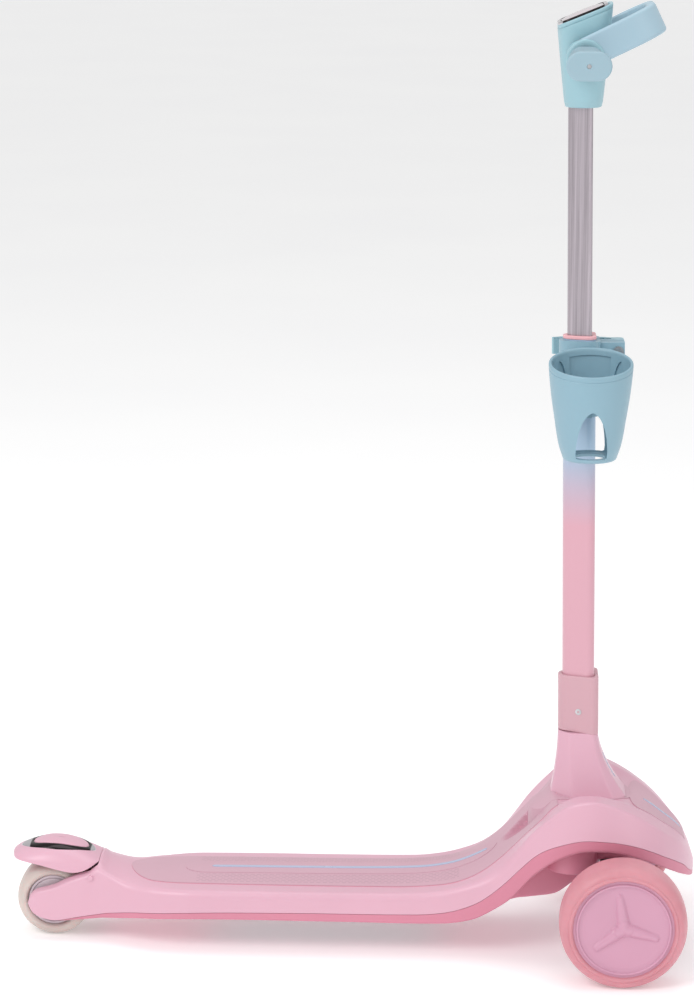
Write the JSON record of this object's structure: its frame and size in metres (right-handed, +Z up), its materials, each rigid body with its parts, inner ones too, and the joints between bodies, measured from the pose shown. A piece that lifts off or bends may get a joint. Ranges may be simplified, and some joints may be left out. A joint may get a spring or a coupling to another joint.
{
  "type": "kick scooter",
  "caption": "Child's three-wheel lean-to-steer kick scooter with telescopic mast, folding loop handle, cup holder and rear fender brake.",
  "frame": {"origin": "on the floor under the middle of the object's box", "axes": "+X forward along the deck, +Y to the rider's left, +Z up; the two front axles lie along Y"},
  "size_m": [0.664, 0.2914, 0.9065],
  "materials": {
    "body_pink": "satin moulded plastic",
    "lip_pink": "satin moulded plastic",
    "pad_pink": "fine moulded texture",
    "stripe_blue": "gloss inlay",
    "tyre_salmon": "translucent polyurethane",
    "cap_lilac": "satin moulded plastic",
    "tyre_cream": "translucent polyurethane",
    "hub_cream": "satin moulded plastic",
    "chrome_trim": "bright plated",
    "zinc_steel": "zinc plated",
    "spring_steel": "oiled",
    "dark_nylon": "moulded",
    "tube_paint": "gloss paint fading from light blue to pink",
    "alloy": "brushed along the tube",
    "cup_blue": "satin moulded plastic",
    "head_blue": "satin moulded plastic",
    "grip_blue": "soft matt rubber",
    "badge_white": "domed gloss",
    "bush_pink": "moulded"
  },
  "bodies": {
    "frame": {"deck_shell": "body_pink", "lower_shell": "lip_pink", "deck_brace": "alloy", "deck_pad": "pad_pink", "deck_stripe": "stripe_blue", "front_panel": "body_pink", "front_stripe": "stripe_blue", "neck": "body_pink", "neck_stripe": "stripe_blue", "stem_socket": "zinc_steel", "stem_bolt": "zinc_steel", "crossmember": "spring_steel", "kingpins": "zinc_steel", "centring_springs": "spring_steel", "frame_screws": "zinc_steel", "brake_hinge_pin": "zinc_steel", "rear_axle": "zinc_steel", "lower_tube": "tube_paint", "collar": "body_pink", "stem_screws": "zinc_steel", "tube_bushing": "bush_pink", "clamp_body": "cup_blue", "clamp_bolt": "zinc_steel", "cup_bracket": "cup_blue"},
    "brake": {"brake_fender": "body_pink", "brake_trim": "chrome_trim", "brake_pad": "body_pink", "brake_shoe": "zinc_steel", "brake_spring": "spring_steel"},
    "knuckle_l": {"knuckle_left": "dark_nylon", "axle_left": "zinc_steel", "wheel_nut_left": "zinc_steel"},
    "knuckle_r": {"knuckle_right": "dark_nylon", "axle_right": "zinc_steel", "wheel_nut_right": "zinc_steel"},
    "wheel_l": {"tyre_left": "tyre_salmon", "rim_left": "cap_lilac", "hub_cap_left": "cap_lilac", "bearings_left": "zinc_steel"},
    "wheel_r": {"tyre_right": "tyre_salmon", "rim_right": "cap_lilac", "hub_cap_right": "cap_lilac", "bearings_right": "zinc_steel"},
    "tie_bar": {"tie_rod": "zinc_steel"},
    "rear_wheel": {"rear_tyre": "tyre_cream", "rear_hub": "hub_cream", "rear_bearings": "zinc_steel", "rear_hub_screws": "spring_steel"},
    "lever": {"clamp_lever": "head_blue"},
    "cup": {"cup_holder": "cup_blue"},
    "mast": {"upper_tube": "alloy", "tube_guide": "dark_nylon", "head_shell": "head_blue", "badge_bezel": "chrome_trim", "badge_insert": "badge_white", "crossbar": "alloy", "grip_left": "grip_blue", "grip_right": "grip_blue", "grip_screws": "zinc_steel"},
    "loop": {"loop_handle": "head_blue"}
  },
  "joints": [
    {"name": "steer_left", "type": "hinge", "parent": "frame", "child": "knuckle_l", "pos_m": [0.2596, 0.082, 0.06], "axis": [-0.1736, 0, 0.9848], "range_deg": [-12, 12], "stiffness_Nm_per_rad": 1.5},
    {"name": "steer_right", "type": "hinge", "parent": "frame", "child": "knuckle_r", "pos_m": [0.2596, -0.082, 0.06], "axis": [-0.1736, 0, 0.9848], "range_deg": [-12, 12], "stiffness_Nm_per_rad": 1.5},
    {"name": "tie_rod_slide", "type": "slide", "parent": "frame", "child": "tie_bar", "axis": [0, -1, 0], "range_m": [-0.0062, 0.0062]},
    {"name": "wheel_left_spin", "type": "hinge", "parent": "knuckle_l", "child": "wheel_l", "pos_m": [0.2596, 0.1227, 0.06], "axis": [0, 1, 0], "continuous": true},
    {"name": "wheel_right_spin", "type": "hinge", "parent": "knuckle_r", "child": "wheel_r", "pos_m": [0.2596, -0.1227, 0.06], "axis": [0, 1, 0], "continuous": true},
    {"name": "rear_wheel_spin", "type": "hinge", "parent": "frame", "child": "rear_wheel", "pos_m": [-0.2914, 0, 0.037], "axis": [0, 1, 0], "continuous": true},
    {"name": "brake_press", "type": "hinge", "parent": "frame", "child": "brake", "pos_m": [-0.2535, 0, 0.064], "axis": [0, -1, 0], "range_deg": [0, 3], "stiffness_Nm_per_rad": 2, "springref_deg": -5.73},
    {"name": "clamp_lever_turn", "type": "hinge", "parent": "frame", "child": "lever", "pos_m": [0.25017, 0.0191, 0.58288], "axis": [0.0116, 0, -0.9999], "range_deg": [0, 110]},
    {"name": "cup_lift", "type": "slide", "parent": "frame", "child": "cup", "axis": [-0.0116, 0, 0.9999], "range_m": [0, 0.045]},
    {"name": "mast_slide", "type": "slide", "parent": "frame", "child": "mast", "axis": [-0.0116, 0, 0.9999], "range_m": [-0.18, 0]},
    {"name": "loop_fold", "type": "hinge", "parent": "mast", "child": "loop", "pos_m": [0.21432, 0, 0.857], "axis": [0, 1, 0], "range_deg": [0, 80]}
  ],
  "couplings": [
    {"joint": "steer_right", "follows": "steer_left", "ratio": 1},
    {"joint": "tie_rod_slide", "follows": "steer_left", "m_per_rad": 0.02757}
  ]
}
